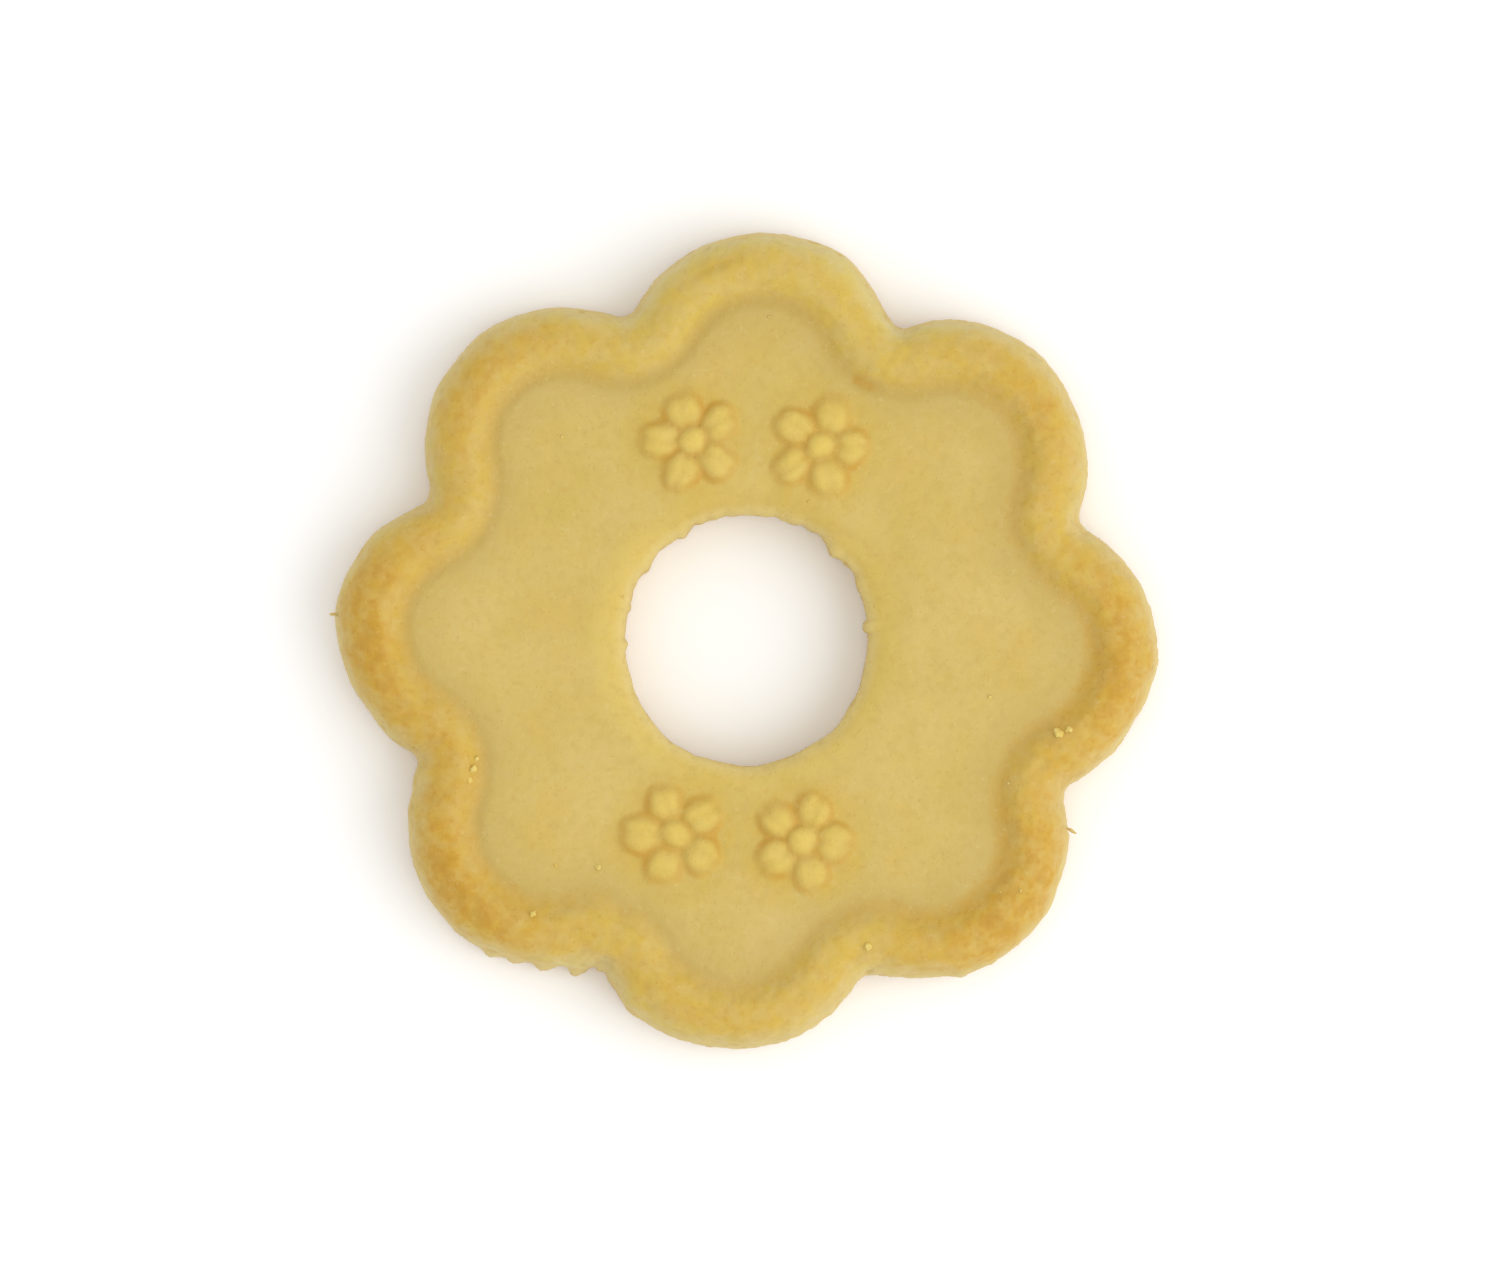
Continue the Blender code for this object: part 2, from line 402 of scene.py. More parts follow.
# Light and camera
WORLD_STRENGTH = 0.93
KEY_DIRECTION = (1.0, -0.25, 1.0)
KEY_DISTANCE = 0.8
KEY_SIZE = 0.9
KEY_POWER = 3.1
VIEW_HEIGHT = 94 * MM  # how much the picture takes in, top to bottom, at the biscuit
CAMERA_DISTANCE = 1.0
SENSOR_WIDTH = 36.0
PHOTO_ROLL = math.radians(2.5)  # the biscuit lies turned this much clockwise in the picture
PICTURE_SHAPE = 1494 / 1282
FLOOR_SIZE = 4.0
FLOOR_WHITE = (0.98, 0.98, 0.98, 1)
FLOOR_ROUGHNESS = 0.9


# ---------------------------------------------------------------- building node trees


def feed(tree, socket, value):
    """Puts a number, a colour or another node's output into an input."""
    if isinstance(value, bpy.types.NodeSocket):
        tree.links.new(value, socket)
    else:
        socket.default_value = value


def add(tree, kind, values=None, **settings):
    """A new node with its settings and, by input name or index, its values."""
    node = tree.nodes.new(kind)
    for name, setting in settings.items():
        setattr(node, name, setting)
    for key, value in (values or {}).items():
        feed(tree, node.inputs[key], value)
    return node


def math_node(tree, operation, *values, clamp=False):
    node = add(tree, "ShaderNodeMath", dict(enumerate(values)), operation=operation, use_clamp=clamp)
    return node.outputs[0]


def chained(tree, operation, first, *others):
    """Adds the other values to the first one, or takes them away and so on, one after another."""
    for other in others:
        first = math_node(tree, operation, first, other)
    return first


def plus(tree, *values):
    return chained(tree, "ADD", *values)


def minus(tree, *values):
    return chained(tree, "SUBTRACT", *values)


def product(tree, *values):
    return chained(tree, "MULTIPLY", *values)


def ratio(tree, *values):
    return chained(tree, "DIVIDE", *values)


def multiply_add(tree, value, factor, addend):
    return math_node(tree, "MULTIPLY_ADD", value, factor, addend)


def vector_math(tree, operation, *values):
    node = add(tree, "ShaderNodeVectorMath", dict(enumerate(values)), operation=operation)
    return node.outputs[0]


def scaled(tree, vector, factor):
    node = add(tree, "ShaderNodeVectorMath", {"Vector": vector, "Scale": factor}, operation="SCALE")
    return node.outputs[0]


def vector_of(tree, x=0.0, y=0.0, z=0.0):
    return add(tree, "ShaderNodeCombineXYZ", {"X": x, "Y": y, "Z": z}).outputs[0]


def upwards(tree, height):
    return vector_of(tree, z=height)


def polar_vector(tree, radius, angle):
    x = product(tree, radius, math_node(tree, "COSINE", angle))
    y = product(tree, radius, math_node(tree, "SINE", angle))
    return vector_of(tree, x, y)


def parts_of(tree, vector):
    return add(tree, "ShaderNodeSeparateXYZ", {0: vector}).outputs


def between(tree, factor, low, high):
    """low where factor is 0, high where it is 1."""
    node = add(tree, "ShaderNodeMix", {"Factor": factor, "A": low, "B": high}, data_type="FLOAT")
    return node.outputs["Result"]


def blend(tree, factor, first, second):
    """The first colour where factor is 0, the second where it is 1."""
    node = add(tree, "ShaderNodeMix", {0: factor, 6: first, 7: second}, data_type="RGBA")
    return node.outputs[2]


def ramp(tree, value, start, end, low=0.0, high=1.0, smooth=False):
    """Goes from low at start to high at end, and stays there past both."""
    node = add(tree, "ShaderNodeMapRange", interpolation_type="SMOOTHSTEP" if smooth else "LINEAR")
    for key, number in enumerate((value, start, end, low, high)):
        feed(tree, node.inputs[key], number)
    return node.outputs[0]


def noise(tree, place, size, detail=2.0, roughness=0.5):
    """Noise from 0 to 1 whose blobs are about as wide as size."""
    scale = 1.0 / size if isinstance(size, float) else ratio(tree, 1.0, size)
    values = {"Vector": place, "Scale": scale, "Detail": detail, "Roughness": roughness}
    return add(tree, "ShaderNodeTexNoise", values).outputs[0]


def swing(tree, place, size, detail=2.0, roughness=0.5):
    """The noise of the function above, from -0.5 to 0.5."""
    return minus(tree, noise(tree, place, size, detail, roughness), 0.5)


def swing_vector(tree, place, size):
    """Three different noises from -0.5 to 0.5, as a vector."""
    values = {"Vector": place, "Scale": ratio(tree, 1.0, size), "Detail": 1.0}
    noises = add(tree, "ShaderNodeTexNoise", values).outputs[1]
    return vector_math(tree, "SUBTRACT", noises, (0.5, 0.5, 0.5))


def floats(*labels):
    """Sockets for plain numbers."""
    return [(label, "float") for label in labels]


def sockets_for(sizes):
    """A socket for each size in a table, of the kind that its number is."""
    return [(label, type(size).__name__) for label, size in sizes.items()]


def new_group(name, kind, inputs, outputs):
    """A node group with named inputs and outputs. Returns the tree, what comes in and what goes out."""
    tree = bpy.data.node_groups.new(name, kind)
    for side, sockets in (("INPUT", inputs), ("OUTPUT", outputs)):
        for label, content in sockets:
            socket_type = "NodeSocket" + content.capitalize()
            tree.interface.new_socket(name=label, in_out=side, socket_type=socket_type)
    entry = tree.nodes.new("NodeGroupInput")
    leave = tree.nodes.new("NodeGroupOutput")
    return tree, entry.outputs, leave.inputs


def new_shape_tree(name, inputs):
    """A geometry tree with named inputs that makes one shape."""
    return new_group(name, "GeometryNodeTree", inputs, [("Geometry", "geometry")])


def use_group(tree, group, values):
    kind = "GeometryNodeGroup" if tree.bl_idname == "GeometryNodeTree" else "ShaderNodeGroup"
    node = tree.nodes.new(kind)
    node.node_tree = group
    for label, value in values.items():
        feed(tree, node.inputs[label], value)
    return node


def own_position(tree):
    return tree.nodes.new("GeometryNodeInputPosition").outputs[0]


def own_normal(tree):
    return tree.nodes.new("GeometryNodeInputNormal").outputs[0]


def shape_of(tree, thing):
    """The geometry of another object."""
    return add(tree, "GeometryNodeObjectInfo", {"Object": thing}).outputs["Geometry"]


def store(tree, geometry, name, value):
    values = {"Geometry": geometry, "Name": name, "Value": value}
    node = add(tree, "GeometryNodeStoreNamedAttribute", values, data_type="FLOAT", domain="POINT")
    return node.outputs[0]


def named(tree, name):
    """A number that an earlier tree stored on the mesh."""
    return add(tree, "GeometryNodeInputNamedAttribute", {"Name": name}, data_type="FLOAT").outputs[0]


def capture(tree, geometry, kind, value):
    """Keeps a value on the points of a curve, so that a sweep passes it on to the mesh."""
    node = tree.nodes.new("GeometryNodeCaptureAttribute")
    node.capture_items.new(kind, "Kept")
    feed(tree, node.inputs[0], geometry)
    feed(tree, node.inputs[1], value)
    return node.outputs[0], node.outputs[1]


def move(tree, geometry, position=None, offset=None):
    values = {"Geometry": geometry}
    if position is not None:
        values["Position"] = position
    if offset is not None:
        values["Offset"] = offset
    return add(tree, "GeometryNodeSetPosition", values).outputs[0]


def finished(tree, geometry, material, result):
    """Ends a tree: smooth faces, real mesh, and its material."""
    smooth = add(tree, "GeometryNodeSetShadeSmooth", {"Geometry": geometry}).outputs[0]
    real = add(tree, "GeometryNodeRealizeInstances", {"Geometry": smooth}).outputs[0]
    dressed = add(tree, "GeometryNodeSetMaterial", {"Geometry": real, "Material": material}).outputs[0]
    tree.links.new(dressed, result)


def set_inputs(modifier, values):
    """Sets a modifier's inputs through their identifiers."""
    for item in modifier.node_group.interface.items_tree:
        if item.in_out == "INPUT" and item.name in values:
            modifier[item.identifier] = values[item.name]


def grow(name, tree, values):
    """Runs a geometry tree on an empty mesh and returns the result as a plain mesh object."""
    piece = bpy.data.objects.new(name, bpy.data.meshes.new(name))
    bpy.context.scene.collection.objects.link(piece)
    modifier = piece.modifiers.new("grow", "NODES")
    modifier.node_group = tree
    set_inputs(modifier, values)
    depsgraph = bpy.context.evaluated_depsgraph_get()
    evaluated = piece.evaluated_get(depsgraph)
    mesh = bpy.data.meshes.new_from_object(evaluated, preserve_all_data_layers=True, depsgraph=depsgraph)
    mesh.name = name
    piece.modifiers.clear()
    piece.data = mesh
    return piece


# ---------------------------------------------------------------- the cross-section


def straight(start, end, steps):
    return [
        (start[0] + (end[0] - start[0]) * i / steps, start[1] + (end[1] - start[1]) * i / steps)
        for i in range(1, steps + 1)
    ]


def evenly_spaced(line, steps):
    """Points at equal distances along a line of many short pieces, without its start."""
    lengths = [0.0]
    for before, after in zip(line, line[1:]):
        lengths.append(lengths[-1] + math.dist(before, after))
    points = []
    for step in range(1, steps):
        target = lengths[-1] * step / steps
        points.append(next(point for point, length in zip(line, lengths) if length >= target))
    return points + [line[-1]]


def flank(foot, crown, steps):
    """Points on one smooth curve up the wall and over the shoulder, upright at foot and level at crown."""
    line = []
    for fine_step in range(FINE_STEPS * steps + 1):
        rise = math.sin(math.pi / 2 * fine_step / (FINE_STEPS * steps))
        left = (1 - rise**WALL_POWER) ** (1 / SHOULDER_POWER)
        across = crown[0] + (foot[0] - crown[0]) * left
        line.append((across, foot[1] + (crown[1] - foot[1]) * rise))
    return evenly_spaced(line, steps)


def rounded(start, end, steps):
    """Points on a quarter of an ellipse from start, which it leaves upright, to end, which it meets level."""
    points = []
    for step in range(1, steps + 1):
        angle = math.pi / 2 * step / steps
        across = end[0] + (start[0] - end[0]) * math.cos(angle)
        points.append((across, start[1] + (end[1] - start[1]) * math.sin(angle)))
    return points


def eased(start, end, steps):
    """Points on a smooth slope from start to end, level at both."""
    points = []
    for across, _ in straight(start, end, steps):
        share = (across - start[0]) / (end[0] - start[0])
        fall = (1 - math.cos(math.pi * share)) / 2
        points.append((across, start[1] + (end[1] - start[1]) * fall))
    return points


def section_points():
    """The closed cross-section as (across, height), from the outer foot over the rim to the hole and back."""
    foot_top = (0, FOOT_HEIGHT)
    foot_base = (FOOT_INSET, 0)
    crown = (CROWN_INSET, CROWN_HEIGHT)
    crease = (CREASE_INSET, CREASE_HEIGHT)
    face = (FACE_INSET, FACE_HEIGHT)
    lip = (RING_WIDTH - HOLE_LIP, FACE_HEIGHT)
    hole_edge = (RING_WIDTH, HOLE_LIP_HEIGHT)
    hole_foot_top = (RING_WIDTH, FOOT_HEIGHT)
    hole_foot_base = (RING_WIDTH - HOLE_FOOT, 0)
    outer_foot = rounded(foot_top, foot_base, FOOT_STEPS)[::-1] + [foot_top]
    rim = flank(foot_top, crown, WALL_STEPS) + eased(crown, crease, SLOPE_STEPS)
    sunken = eased(crease, face, CREASE_STEPS) + straight(face, lip, FACE_STEPS)
    hole_lip = rounded(hole_edge, lip, LIP_STEPS)[::-1][1:] + [hole_edge]
    hole_wall = straight(hole_edge, hole_foot_top, HOLE_WALL_STEPS)
    inner_foot = rounded(hole_foot_top, hole_foot_base, HOLE_FOOT_STEPS)
    base = straight(hole_foot_base, foot_base, BASE_STEPS)[:-1]
    return outer_foot + rim + sunken + hole_lip + hole_wall + inner_foot + base


def section_guide():
    """A flat closed line drawn through the cross-section's points, for the sweep to follow."""
    curve = bpy.data.curves.new("cookie_section", "CURVE")
    curve.dimensions = "3D"
    points = section_points()
    spline = curve.splines.new("POLY")
    spline.points.add(len(points) - 1)
    for point, (across, height) in zip(spline.points, points):
        point.co = (across, height, 0, 1)
    spline.use_cyclic_u = True
    guide = bpy.data.objects.new("cookie_section", curve)
    bpy.context.scene.collection.objects.link(guide)
    return guide


# ---------------------------------------------------------------- geometry: the biscuit's form


PETAL_SIZES = ("Petals", "Petal Reach", "Petal Radius", "Valley Radius", "Petal Share")


def petal_point_group():
    """Where a point lies at a place round the scalloped outline, set in from it by an inset."""
    inputs = floats("Place", "Inset", *PETAL_SIZES)
    tree, given, result = new_group("petal_point", "GeometryNodeTree", inputs, [("Point", "vector")])
    half = ratio(tree, math.pi, given["Petals"])
    petal = math_node(tree, "FLOOR", given["Place"])
    share = math_node(tree, "FRACT", given["Place"])
    turn = product(tree, petal, half, 2)

    # The fillet's centre lies on the line between two petals, touching both arcs
    cosine = math_node(tree, "COSINE", half)
    sine = math_node(tree, "SINE", half)
    reach_x = product(tree, given["Petal Reach"], cosine)
    reach_y = product(tree, given["Petal Reach"], sine)
    radii = plus(tree, given["Petal Radius"], given["Valley Radius"])
    square = minus(tree, product(tree, radii, radii), product(tree, reach_y, reach_y))
    valley_reach = plus(tree, reach_x, math_node(tree, "SQRT", square))
    valley_x = product(tree, valley_reach, cosine)
    valley_y = product(tree, valley_reach, sine)
    joint = math_node(tree, "ARCTAN2", valley_y, minus(tree, valley_x, given["Petal Reach"]))

    # The outward direction swings one way over the petal and back through the valley
    less_joint = product(tree, joint, -1)
    back = minus(tree, product(tree, half, 2), joint)
    over_petal = ramp(tree, share, 0.0, given["Petal Share"], less_joint, joint)
    in_valley = ramp(tree, share, given["Petal Share"], 1.0, joint, back)
    is_valley = math_node(tree, "GREATER_THAN", share, given["Petal Share"])
    normal = plus(tree, turn, between(tree, is_valley, over_petal, in_valley))

    reach = between(tree, is_valley, given["Petal Reach"], valley_reach)
    centre_turn = multiply_add(tree, is_valley, half, turn)
    hollow = product(tree, given["Valley Radius"], -1)
    bend = between(tree, is_valley, given["Petal Radius"], hollow)
    out = minus(tree, bend, given["Inset"])
    centre = polar_vector(tree, reach, centre_turn)
    point = vector_math(tree, "ADD", centre, polar_vector(tree, out, normal))
    tree.links.new(point, result["Point"])
    return tree


def bump_group():
    """1 where an angle meets a centre, easing to 0 one reach away from it on both sides."""
    inputs = floats("Angle", "Centre", "Reach")
    tree, given, result = new_group("bump_at", "GeometryNodeTree", inputs, floats("Bump"))
    away = minus(tree, given["Angle"], given["Centre"])
    away = math_node(tree, "ABSOLUTE", math_node(tree, "WRAP", away, math.pi, -math.pi))
    tree.links.new(ramp(tree, away, given["Reach"], 0.0, smooth=True), result["Bump"])
    return tree


def bump_sum(tree, bump, angle, places, unit=1.0):
    """Adds up bumps given as (place in degrees, height in units, reach in degrees)."""
    total = 0.0
    for centre, height, reach in places:
        values = {"Angle": angle, "Centre": math.radians(centre), "Reach": math.radians(reach)}
        one = use_group(tree, bump, values).outputs[0]
        total = multiply_add(tree, one, height * unit, total)
    return total


def wave_sum(tree, angle, waves, mean=0.0, unit=1.0):
    """Adds up waves given as (number round the biscuit, height in units, crest in degrees)."""
    total = mean
    for count, height, crest in waves:
        phase = multiply_add(tree, angle, float(count), -math.radians(crest))
        total = multiply_add(tree, math_node(tree, "COSINE", phase), height * unit, total)
    return total


def dome(tree, distance_squared, rise, sink):
    """Height over the face of a lump whose middle lies sink under it. It is below the face past its edge."""
    left = math_node(tree, "SUBTRACT", 1.0, distance_squared, clamp=True)
    tall = plus(tree, rise, sink)
    bow = product(tree, tall, math_node(tree, "SQRT", left))
    return minus(tree, bow, sink)


def blossom_relief_group():
    """How far the moulded blossoms stand out of the face, and 1 at the heart of one, falling to 0 round it.

    The signed height goes on below the face, outside each blossom. The biscuit's quarters mirror each other.
    """
    inputs = [("Position", "vector")] + sockets_for(BLOSSOM_SIZES)
    outputs = floats("Height", "Near", "Signed Height")
    tree, given, result = new_group("blossom_relief", "GeometryNodeTree", inputs, outputs)
    sway = swing_vector(tree, given["Position"], given["Stray Size"])
    place = vector_math(tree, "ADD", given["Position"], scaled(tree, sway, given["Stray"]))
    quarter = vector_math(tree, "ABSOLUTE", vector_math(tree, "MULTIPLY", place, (1, 1, 0)))
    middle = polar_vector(tree, given["Reach"], given["Angle"])
    local = parts_of(tree, vector_math(tree, "SUBTRACT", quarter, middle))
    radius_squared = plus(tree, product(tree, local[0], local[0]), product(tree, local[1], local[1]))
    radius = math_node(tree, "SQRT", radius_squared)
    angle = minus(tree, math_node(tree, "ARCTAN2", local[1], local[0]), given["Angle"])
    half = ratio(tree, math.pi, given["Petals"])
    folded = math_node(tree, "WRAP", angle, half, product(tree, half, -1))

    along = product(tree, radius, math_node(tree, "COSINE", folded))
    along = minus(tree, along, given["Petal Reach"])
    beside = product(tree, radius, math_node(tree, "SINE", folded))
    shares = []
    for distance, size in ((along, "Petal Length"), (beside, "Petal Width"), (radius, "Heart Width")):
        share = ratio(tree, distance, product(tree, given[size], 0.5))
        shares.append(product(tree, share, share))
    petal = dome(tree, plus(tree, shares[0], shares[1]), given["Petal Rise"], given["Sink"])
    vein = ramp(tree, math_node(tree, "ABSOLUTE", beside), given["Vein Width"], 0.0, smooth=True)
    petal = minus(tree, petal, product(tree, vein, given["Vein Depth"]))
    heart = dome(tree, shares[2], given["Heart Rise"], given["Sink"])
    lump = math_node(tree, "SMOOTH_MAX", petal, heart, given["Softness"])
    lump = math_node(tree, "SMOOTH_MIN", lump, given["Flat Top"], given["Softness"])
    tree.links.new(lump, result["Signed Height"])
    height = math_node(tree, "SMOOTH_MAX", lump, 0.0, given["Softness"])
    tree.links.new(height, result["Height"])
    far = ratio(tree, radius, product(tree, given["Whole Width"], 0.5))
    tree.links.new(ramp(tree, far, *NEAR_BLOSSOM), result["Near"])
    return tree


def swept_ring(tree, given):
    """Sweeps the section round the ring. Returns the mesh, the place round it, and across and height.

    The place counts petals. The sweep's faces point inwards, so they are flipped.
    """
    circle = add(tree, "GeometryNodeCurvePrimitiveCircle", {"Resolution": given["Steps Around"]})
    index = tree.nodes.new("GeometryNodeInputIndex").outputs[0]
    path, step = capture(tree, circle.outputs[0], "FLOAT", index)
    section = shape_of(tree, given["Section"])
    position = own_position(tree)
    profile, drawn = capture(tree, section, "VECTOR", position)
    sweep = add(tree, "GeometryNodeCurveToMesh", {"Curve": path, "Profile Curve": profile}).outputs[0]
    outward = add(tree, "GeometryNodeFlipFaces", {"Mesh": sweep}).outputs[0]
    place = product(tree, step, ratio(tree, given["Petals"], given["Steps Around"]))
    drawn = parts_of(tree, drawn)
    return outward, place, drawn[0], drawn[1]


def ring_position(tree, given, place, across, height, petal_point):
    """Puts a point of the section in its place: petal-shaped at the rim, round at the hole."""
    sizes = {size: given[size] for size in PETAL_SIZES}
    inset = math_node(tree, "MINIMUM", across, FACE_INSET)
    petal = use_group(tree, petal_point, {"Place": place, "Inset": inset, **sizes}).outputs[0]
    crease = use_group(tree, petal_point, {"Place": place, "Inset": CREASE_INSET, **sizes}).outputs[0]
    crease = parts_of(tree, crease)
    angle = math_node(tree, "ARCTAN2", crease[1], crease[0])

    from_hole = minus(tree, RING_WIDTH, across)
    gap = math_node(tree, "MINIMUM", from_hole, ROUND_ZONE)
    oval = wave_sum(tree, angle, ((2, 1.0, 2 * HOLE_OVAL_ANGLE),))
    oval = product(tree, oval, given["Hole Oval"])
    radius = plus(tree, given["Hole Radius"], oval, gap)
    hole = vector_math(tree, "ADD", polar_vector(tree, radius, angle), HOLE_MIDDLE)

    share = ramp(tree, across, FACE_INSET, RING_WIDTH - ROUND_ZONE)
    flat = add(tree, "ShaderNodeMix", {"Factor": share, 4: petal, 5: hole}, data_type="VECTOR").outputs[1]
    return vector_math(tree, "ADD", flat, upwards(tree, height))


def around(tree, position):
    """A position's part along the floor, its angle and its distance from the middle."""
    level = vector_math(tree, "MULTIPLY", position, (1, 1, 0))
    spot = parts_of(tree, level)
    angle = math_node(tree, "ARCTAN2", spot[1], spot[0])
    radius = add(tree, "ShaderNodeVectorMath", {0: level}, operation="LENGTH").outputs["Value"]
    return level, angle, radius


def uneven_offset(tree, position, bump):
    """Pushes the point in or out by the dough's unevenness, fully at the rim and hardly at the hole."""
    level, angle, radius = around(tree, position)
    waves = wave_sum(tree, angle, WAVES, unit=MM)
    push = plus(tree, waves, bump_sum(tree, bump, angle, (SPILL,), MM))
    return scaled(tree, level, product(tree, push, ratio(tree, radius, WAVE_RADIUS**2)))


def centred(tree, geometry):
    """Moves the biscuit so that its box is centred on the origin, seen from above."""
    box = add(tree, "GeometryNodeBoundBox", {0: geometry}).outputs
    middle = scaled(tree, vector_math(tree, "ADD", box["Min"], box["Max"]), -0.5)
    return move(tree, geometry, offset=vector_math(tree, "MULTIPLY", middle, (1, 1, 0)))


# ---------------------------------------------------------------- geometry: the crust's unevenness


def ragged_edges(tree, given, across, height, bump):
    """How far the outer wall and the hole's wall stray outwards: torn teeth, steps and a wavy edge."""
    position = own_position(tree)
    level, angle, radius = around(tree, position)
    sine = math_node(tree, "SINE", angle)
    off_base = ramp(tree, height, *OFF_BASE)
    on_wall = product(tree, ramp(tree, across, *UNEVEN_WALL), off_base)
    low_wall = product(tree, on_wall, ramp(tree, height, *TORN_WALL, smooth=True))
    teeth = product(tree, bump_sum(tree, bump, angle, RAGGED_TEETH, MM), low_wall)
    wavy = minus(tree, noise(tree, position, given["Edge Size"], 2.0, 0.4), WALL_FULLNESS)
    wavy = product(tree, wavy, ramp(tree, sine, *LOWER_SIDE, 0.6, 1.0), given["Edge Depth"])
    wavy = plus(tree, wavy, bump_sum(tree, bump, angle, WALL_BUMPS, MM))
    outer = multiply_add(tree, wavy, on_wall, teeth)

    from_hole = minus(tree, RING_WIDTH, across)
    at_hole = product(tree, ramp(tree, from_hole, *TORN_HOLE, smooth=True), off_base)
    torn = minus(tree, WALL_FULLNESS, noise(tree, position, given["Tear Size"], 2.0, 0.4))
    torn = product(tree, torn, ramp(tree, sine, *UPPER_SIDE, 0.15, 1.0), given["Tear Depth"])
    inner = minus(tree, torn, bump_sum(tree, bump, angle, HOLE_STEPS, MM))
    stray = multiply_add(tree, inner, at_hole, outer)
    return scaled(tree, level, ratio(tree, stray, radius))


def crown_folds(tree, across, height, angle, bump):
    """Shallow folds that run along the rim's crown, as depths below it."""
    from_line = math_node(tree, "ABSOLUTE", minus(tree, across, FOLD_INSET))
    line = ramp(tree, from_line, FOLD_WIDTH, 0.0, smooth=True)
    high = math_node(tree, "GREATER_THAN", height, SHOULDER_HEIGHT)
    return product(tree, line, high, bump_sum(tree, bump, angle, CROWN_FOLDS), FOLD_DEPTH)


def open_pores(tree, position, size, share):
    """Round hollows in a share of the cells of a random pattern: 1 in their middle, 0 outside."""
    values = {"Vector": position, "Scale": ratio(tree, 1.0, size), "Randomness": 0.9}
    cells = add(tree, "ShaderNodeTexVoronoi", values).outputs
    chosen = math_node(tree, "LESS_THAN", parts_of(tree, cells["Color"])[0], share)
    return product(tree, ramp(tree, cells["Distance"], *PORE_ROUND, smooth=True), chosen)


def crust_relief(tree, given, across, height, angle):
    """Fine relief along the surface's own direction. Returns it, and the grain's height from -1 to 1."""
    position = own_position(tree)
    swell = swing(tree, position, given["Swell Size"])
    grain = swing(tree, position, given["Grain Size"], 3.0, 0.6)

    # Short wrinkles across the rim: noise on a drum round the biscuit, drawn out along its axis
    up_drum = product(tree, plus(tree, across, height), WRINKLE_DRAW)
    drum = vector_math(tree, "ADD", polar_vector(tree, WAVE_RADIUS, angle), upwards(tree, up_drum))
    wrinkle = swing(tree, drum, given["Grain Size"], 2.0, 0.6)

    wall = ramp(tree, height, *ROUGH_WALL)
    rim = math_node(tree, "MAXIMUM", ramp(tree, across, *ROUGH_RIM), product(tree, wall, 0.4))
    rim_rough = product(tree, rim, wave_sum(tree, angle, ROUGH_WAVES, ROUGH_MEAN))
    rough = plus(tree, rim_rough, 1.0, product(tree, wall, given["Wall Roughness"]))
    rough = product(tree, rough, ramp(tree, across, *SMOOTHER_INSIDE, 1.0, given["Hole Roughness"]))

    relief = product(tree, swell, given["Swell Depth"])
    relief = multiply_add(tree, grain, product(tree, given["Grain Depth"], rough), relief)
    wrinkled = product(tree, given["Wrinkle Depth"], rim_rough)
    relief = multiply_add(tree, wrinkle, wrinkled, relief)
    pore = product(tree, open_pores(tree, position, given["Pore Size"], given["Pore Share"]), wall)
    pore = product(tree, pore, ramp(tree, height, *PORE_WALL))
    relief = minus(tree, relief, product(tree, pore, given["Pore Depth"]))
    mound = plus(tree, grain, product(tree, wrinkle, rim, 0.8))
    return relief, minus(tree, mound, product(tree, pore, 0.5))


def toasting(tree, across, height, angle, position):
    """How brown the dough is baked: most along the crown, less down its inner slope, and on the base."""
    drift = swing(tree, position, TOAST_DRIFT_SIZE, 3.0)
    level = multiply_add(tree, drift, TOAST_DRIFT, height)
    on_top = ramp(tree, level, *TOASTED_TOP, smooth=True)
    edge_toast = wave_sum(tree, angle, EDGE_WAVES, EDGE_MEAN)
    crown = ramp(tree, across, *TOASTED_EDGE, edge_toast, 1.0, smooth=True)
    # More browning on the slope where it faces away from the light is painted shade
    slope_toast_and_shade = wave_sum(tree, angle, SLOPE_WAVES, SLOPE_MEAN)
    slope = ramp(tree, across, *TOASTED_SLOPE, 1.0, slope_toast_and_shade, smooth=True)
    face = ramp(tree, across, *TOAST_END, 1.0, 0.0, smooth=True)
    side = wave_sum(tree, angle, TOAST_WAVES, TOAST_MEAN)
    petal = wave_sum(tree, angle, ((PETALS, 1 - VALLEY_TOAST, 0),), VALLEY_TOAST)
    rim = product(tree, on_top, crown, slope, face, side, petal)
    foot = ramp(tree, level, *TOASTED_FOOT, 0.0, FOOT_TOAST, smooth=True)
    near_wall = ramp(tree, across, *BASE_BY_WALL, smooth=True)
    near_hole = ramp(tree, across, *BASE_BY_HOLE, smooth=True)
    beside_edge = math_node(tree, "MAXIMUM", near_wall, near_hole)
    foot = product(tree, foot, multiply_add(tree, beside_edge, 0.4, 0.8))
    return math_node(tree, "MAXIMUM", rim, foot)


def crease_shade(tree, across, height, angle, bump):
    """How dark the painted shade in the crease at the foot of the rim's slope is: 1 at its bottom, less to
    both sides.
    """
    line = product(tree, ramp(tree, across, *CREASE_OUTSIDE), ramp(tree, across, *CREASE_INSIDE))
    on_top = math_node(tree, "GREATER_THAN", height, HOLE_LIP_HEIGHT)
    waves = wave_sum(tree, angle, CREASE_WAVES, CREASE_MEAN)
    return product(tree, line, on_top, plus(tree, waves, bump_sum(tree, bump, angle, CREASE_SPOTS)))


